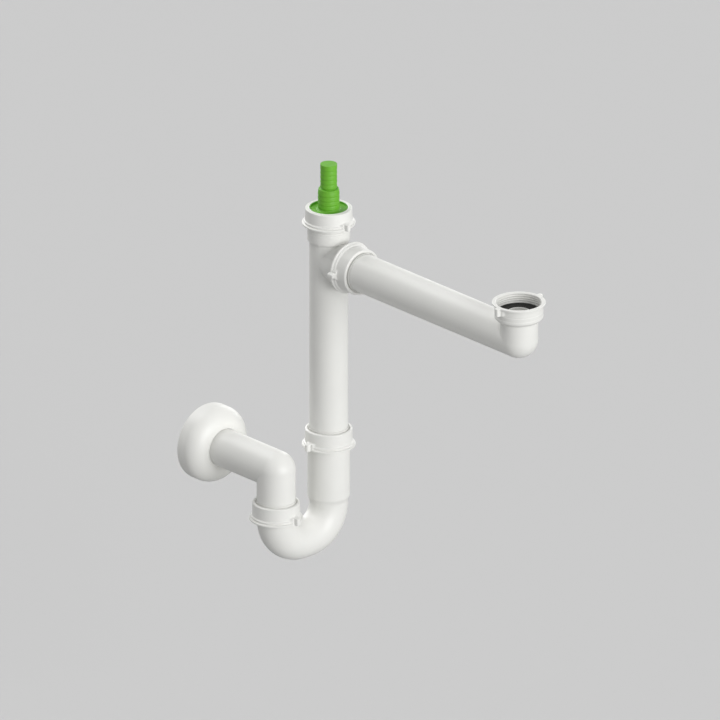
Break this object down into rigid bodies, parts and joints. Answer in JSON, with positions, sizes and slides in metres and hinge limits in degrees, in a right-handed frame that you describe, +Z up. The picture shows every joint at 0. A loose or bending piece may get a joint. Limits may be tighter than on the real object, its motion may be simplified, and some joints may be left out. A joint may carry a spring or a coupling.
{
  "type": "space saving sink trap",
  "caption": "Space saving waste trap: a long level arm from the sink outlet, a riser with a hose nozzle, a U bend and an outlet elbow through a wall rosette.",
  "frame": {"origin": "on the axis of the sink outlet, on the flat rim of the sink seal, where the sink's waste presses on it", "axes": "+Z up along the axis of the sink outlet, +Y from the sink outlet along the arm towards the wall, +X to the right seen from the sink side, away from the outlet leg"},
  "size_m": [0.1452, 0.4409, 0.4241],
  "materials": {
    "white_plastic": "glossy moulded",
    "green_plastic": "satin moulded",
    "black_rubber": "matt",
    "natural_plastic": "matt moulded"
  },
  "bodies": {
    "arm": {"sink_arm": "white_plastic", "sink_seal": "black_rubber"},
    "sink_nut": {"sink_nut": "white_plastic"},
    "branch_seal": {"branch_wedge_seal": "black_rubber"},
    "riser": {"riser_tee": "white_plastic", "nozzle_seal": "black_rubber"},
    "branch_ring": {"branch_slip_ring": "natural_plastic"},
    "branch_nut": {"branch_nut": "white_plastic"},
    "nozzle": {"hose_nozzle": "green_plastic"},
    "appliance_nut": {"appliance_nut": "white_plastic"},
    "inlet_seal": {"inlet_wedge_seal": "black_rubber"},
    "bend": {"trap_bend": "white_plastic"},
    "inlet_ring": {"inlet_slip_ring": "natural_plastic"},
    "inlet_nut": {"inlet_nut": "white_plastic"},
    "outlet_seal": {"outlet_wedge_seal": "black_rubber"},
    "outlet": {"outlet_elbow": "white_plastic"},
    "outlet_ring": {"outlet_slip_ring": "natural_plastic"},
    "outlet_nut": {"outlet_nut": "white_plastic"},
    "rosette": {"wall_rosette": "white_plastic"}
  },
  "joints": [
    {"name": "sink_nut_turn", "type": "hinge", "parent": "arm", "child": "sink_nut", "pos_m": [0, 0, 0], "axis": [0, 0, 1], "continuous": true},
    {"name": "arm_length_slide", "type": "slide", "parent": "arm", "child": "branch_seal", "axis": [0, 1, 0], "range_m": [0, 0.008]},
    {"name": "riser_swing", "type": "hinge", "parent": "branch_seal", "child": "riser", "pos_m": [0, 0.2906, -0.0305], "axis": [0, 1, 0], "range_deg": [-90, 90]},
    {"name": "branch_ring_slide", "type": "slide", "parent": "riser", "child": "branch_ring", "axis": [0, -1, 0], "range_m": [0, 0.008]},
    {"name": "branch_nut_turn", "type": "hinge", "parent": "branch_ring", "child": "branch_nut", "pos_m": [0, 0.2465, -0.0305], "axis": [0, -1, 0], "range_deg": [0, 720]},
    {"name": "nozzle_lift", "type": "slide", "parent": "riser", "child": "nozzle", "axis": [0, 0, 1], "range_m": [0, 0.008]},
    {"name": "appliance_nut_turn", "type": "hinge", "parent": "nozzle", "child": "appliance_nut", "pos_m": [0, 0.2906, 0.0175], "axis": [0, 0, 1], "range_deg": [0, 720]},
    {"name": "bend_height_slide", "type": "slide", "parent": "riser", "child": "inlet_seal", "axis": [0, 0, 1], "range_m": [-0.02, 0.025]},
    {"name": "bend_turn", "type": "hinge", "parent": "inlet_seal", "child": "bend", "pos_m": [0, 0.2906, -0.2241], "axis": [0, 0, 1], "continuous": true},
    {"name": "inlet_ring_slide", "type": "slide", "parent": "bend", "child": "inlet_ring", "axis": [0, 0, 1], "range_m": [0, 0.008]},
    {"name": "inlet_nut_turn", "type": "hinge", "parent": "inlet_ring", "child": "inlet_nut", "pos_m": [0, 0.2906, -0.2241], "axis": [0, 0, 1], "range_deg": [0, 720]},
    {"name": "outlet_turn", "type": "hinge", "parent": "bend", "child": "outlet_seal", "pos_m": [-0.0723, 0.2906, -0.2862], "axis": [0, 0, 1], "range_deg": [-10, 190]},
    {"name": "outlet_height_slide", "type": "slide", "parent": "outlet_seal", "child": "outlet", "axis": [0, 0, 1], "range_m": [0, 0.004]},
    {"name": "outlet_ring_slide", "type": "slide", "parent": "bend", "child": "outlet_ring", "axis": [0, 0, 1], "range_m": [0, 0.008]},
    {"name": "outlet_nut_turn", "type": "hinge", "parent": "outlet_ring", "child": "outlet_nut", "pos_m": [-0.0723, 0.2906, -0.2862], "axis": [0, 0, 1], "range_deg": [0, 720]},
    {"name": "rosette_slide", "type": "slide", "parent": "outlet", "child": "rosette", "axis": [0, 1, 0], "range_m": [-0.03, 0.012]}
  ],
  "couplings": [
    {"joint": "branch_ring_slide", "follows": "branch_nut_turn", "m_per_rad": 0.000636},
    {"joint": "nozzle_lift", "follows": "appliance_nut_turn", "m_per_rad": 0.000636},
    {"joint": "inlet_ring_slide", "follows": "inlet_nut_turn", "m_per_rad": 0.000636},
    {"joint": "outlet_ring_slide", "follows": "outlet_nut_turn", "m_per_rad": 0.000636}
  ]
}
